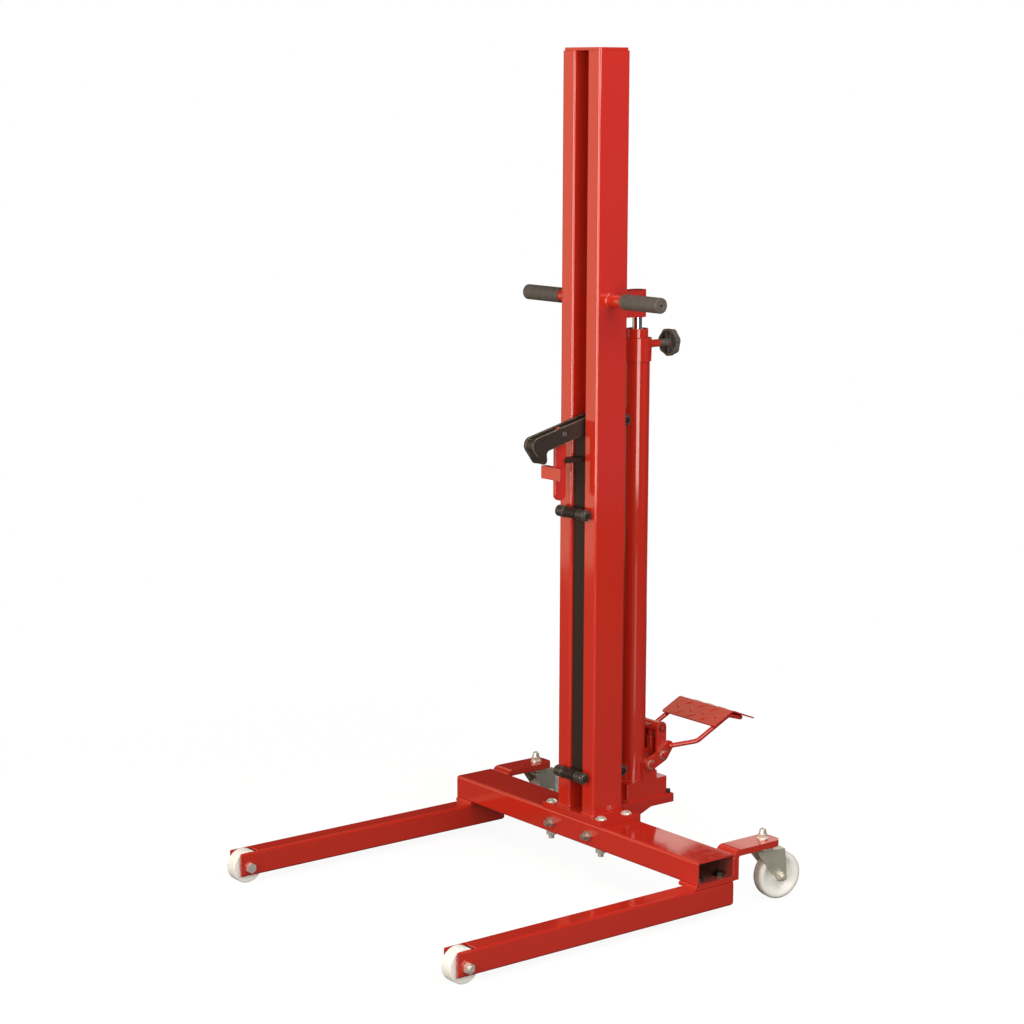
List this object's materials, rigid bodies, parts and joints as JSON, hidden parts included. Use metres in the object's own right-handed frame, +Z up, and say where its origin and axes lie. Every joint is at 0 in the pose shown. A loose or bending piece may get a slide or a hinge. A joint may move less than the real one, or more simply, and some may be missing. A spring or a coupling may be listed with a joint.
{
  "type": "drum trolley",
  "caption": "Steel drum trolley: U-shaped chassis on rollers and castors, twin-post mast, foot-pumped hydraulic lift and a self-clamping beak for the drum's rim.",
  "frame": {"origin": "on the floor, under the middle of the trolley's length and width", "axes": "+Z is up; +X is the trolley's right side as seen from behind the handles facing the drum; -Y is the front, where the drum stands between the legs"},
  "size_m": [0.8156, 1.0445, 1.702],
  "materials": {
    "red_paint": "semi-gloss red powder coat",
    "black_paint": "satin black paint",
    "zinc_plate": "zinc-plated steel",
    "dark_steel": "blackened steel, oiled",
    "white_nylon": "turned cream-white nylon",
    "chrome": "ground and hard-chromed rod",
    "black_plastic": "moulded black plastic",
    "grip_rubber": "ringed dark grey rubber"
  },
  "bodies": {
    "chassis": {"cross_beam": "red_paint", "leg_left": "red_paint", "leg_right": "red_paint", "leg_pads": "red_paint", "leg_bolts": "zinc_plate", "leg_end_caps": "red_paint", "front_axles": "zinc_plate", "castor_bracket_left": "red_paint", "castor_bracket_right": "red_paint", "kingpins": "zinc_plate", "castor_races": "zinc_plate", "mast_foot": "red_paint", "foot_bolts": "zinc_plate", "cross_bolts": "zinc_plate", "post_left": "red_paint", "post_right": "red_paint", "mast_cap": "red_paint", "handle_tubes": "red_paint", "grip_left": "grip_rubber", "grip_right": "grip_rubber", "pump_bracket": "red_paint", "pump_block": "red_paint", "block_bolts": "dark_steel", "cylinder_tube": "red_paint", "cylinder_head": "red_paint", "wiper_collar": "red_paint", "pump_lugs": "red_paint", "pivot_bolts": "zinc_plate", "pump_barrel": "red_paint"},
    "front_roller_l": {"front_roller_left": "white_nylon"},
    "front_roller_r": {"front_roller_right": "white_nylon"},
    "castor_l": {"castor_fork_left": "zinc_plate", "castor_axle_left": "zinc_plate"},
    "castor_r": {"castor_fork_right": "zinc_plate", "castor_axle_right": "zinc_plate"},
    "wheel_l": {"castor_wheel_left": "white_nylon"},
    "wheel_r": {"castor_wheel_right": "white_nylon"},
    "carriage": {"slider": "black_paint", "jaw_guide": "black_paint", "lift_bar": "red_paint", "ram_arm": "red_paint", "ram": "chrome", "piston": "dark_steel", "beak_pin": "zinc_plate"},
    "guide_front_upper": {"front_rollers_upper": "dark_steel"},
    "guide_front_lower": {"front_rollers_lower": "dark_steel"},
    "guide_rear_upper": {"rear_rollers_upper": "dark_steel"},
    "guide_rear_lower": {"rear_rollers_lower": "dark_steel"},
    "beak_arm": {"beak": "black_paint", "jaw_bolt": "black_paint"},
    "jaw": {"jaw_link": "red_paint"},
    "pedal": {"pedal_frame": "red_paint", "tread_plate": "red_paint", "link_bolts": "zinc_plate"},
    "links": {"link_plates": "red_paint"},
    "pump_crosshead": {"crosshead": "red_paint"},
    "knob": {"release_knob": "black_plastic"}
  },
  "joints": [
    {"name": "front_roller_left_spin", "type": "hinge", "parent": "chassis", "child": "front_roller_l", "pos_m": [-0.3715, -0.4883, 0.034], "axis": [1, 0, 0], "continuous": true},
    {"name": "front_roller_right_spin", "type": "hinge", "parent": "chassis", "child": "front_roller_r", "pos_m": [0.3715, -0.4883, 0.034], "axis": [1, 0, 0], "continuous": true},
    {"name": "castor_left_swivel", "type": "hinge", "parent": "chassis", "child": "castor_l", "pos_m": [-0.367, 0.2797, 0.105], "axis": [0, 0, 1], "continuous": true},
    {"name": "castor_right_swivel", "type": "hinge", "parent": "chassis", "child": "castor_r", "pos_m": [0.367, 0.2797, 0.105], "axis": [0, 0, 1], "continuous": true},
    {"name": "castor_left_spin", "type": "hinge", "parent": "castor_l", "child": "wheel_l", "pos_m": [-0.37368, 0.31406, 0.0495], "axis": [0.9816, 0.1908, 0], "continuous": true},
    {"name": "castor_right_spin", "type": "hinge", "parent": "castor_r", "child": "wheel_r", "pos_m": [0.37368, 0.31406, 0.0495], "axis": [0.9816, -0.1908, 0], "continuous": true},
    {"name": "lift", "type": "slide", "parent": "chassis", "child": "carriage", "axis": [0, 0, 1], "range_m": [0, 0.45]},
    {"name": "guide_front_upper_spin", "type": "hinge", "parent": "carriage", "child": "guide_front_upper", "pos_m": [0, 0.0784, 0.766], "axis": [1, 0, 0], "continuous": true},
    {"name": "guide_front_lower_spin", "type": "hinge", "parent": "carriage", "child": "guide_front_lower", "pos_m": [0, 0.0784, 0.214], "axis": [1, 0, 0], "continuous": true},
    {"name": "guide_rear_upper_spin", "type": "hinge", "parent": "carriage", "child": "guide_rear_upper", "pos_m": [0, 0.183, 0.954], "axis": [1, 0, 0], "continuous": true},
    {"name": "guide_rear_lower_spin", "type": "hinge", "parent": "carriage", "child": "guide_rear_lower", "pos_m": [0, 0.183, 0.214], "axis": [1, 0, 0], "continuous": true},
    {"name": "beak_open", "type": "hinge", "parent": "carriage", "child": "beak_arm", "pos_m": [0, 0.1287, 0.954], "axis": [-1, 0, 0], "range_deg": [0, 35]},
    {"name": "jaw_swing", "type": "hinge", "parent": "beak_arm", "child": "jaw", "pos_m": [0, 0.0427, 0.933], "axis": [-1, 0, 0], "range_deg": [-35, 0]},
    {"name": "pedal_press", "type": "hinge", "parent": "chassis", "child": "pedal", "pos_m": [0, 0.2647, 0.213], "axis": [-1, 0, 0], "range_deg": [0, 17], "stiffness_Nm_per_rad": 10, "springref_deg": -20.05},
    {"name": "link_swing", "type": "hinge", "parent": "pedal", "child": "links", "pos_m": [0, 0.2997, 0.228], "axis": [-1, 0, 0], "range_deg": [-20, 0]},
    {"name": "plunger_slide", "type": "slide", "parent": "chassis", "child": "pump_crosshead", "axis": [0, 0, -1], "range_m": [0, 0.012]},
    {"name": "knob_turn", "type": "hinge", "parent": "chassis", "child": "knob", "pos_m": [0, 0.3067, 1.101], "axis": [0, 1, 0], "range_deg": [0, 180]}
  ],
  "couplings": [
    {"joint": "jaw_swing", "follows": "beak_open", "ratio": -1},
    {"joint": "link_swing", "follows": "pedal_press", "ratio": -1.166},
    {"joint": "plunger_slide", "follows": "pedal_press", "m_per_rad": 0.0367}
  ]
}
